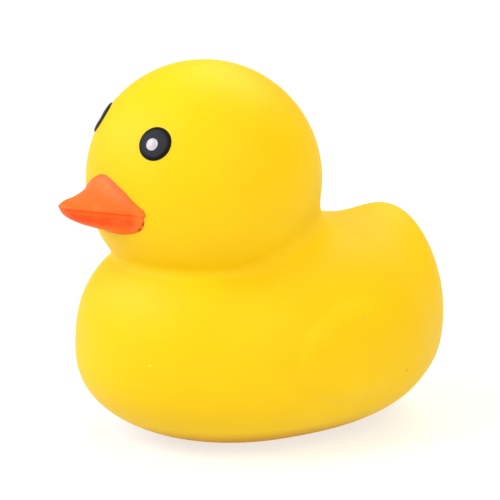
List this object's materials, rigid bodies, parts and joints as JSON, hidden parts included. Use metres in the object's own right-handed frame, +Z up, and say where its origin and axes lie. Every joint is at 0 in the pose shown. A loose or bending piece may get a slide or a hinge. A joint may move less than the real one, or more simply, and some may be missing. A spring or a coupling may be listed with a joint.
{
  "type": "squishy duck",
  "caption": "Soft moulded duck for squeezing, with a ball head, plump body, upturned tail, raised beak and eyes, and a flat underside to stand on.",
  "frame": {"origin": "middle of the duck's length and width, on the flat underside", "axes": "+Z up; -Y is where the beak points; +X is the duck's left"},
  "size_m": [0.0736, 0.1028, 0.0918],
  "materials": {
    "yellow_foam": "matte soft foam skin",
    "beak_paint": "matte orange paint",
    "eye_paint": "satin black paint",
    "dot_paint": "matte white paint"
  },
  "bodies": {
    "root": {"duck": "yellow_foam"}
  },
  "joints": []
}
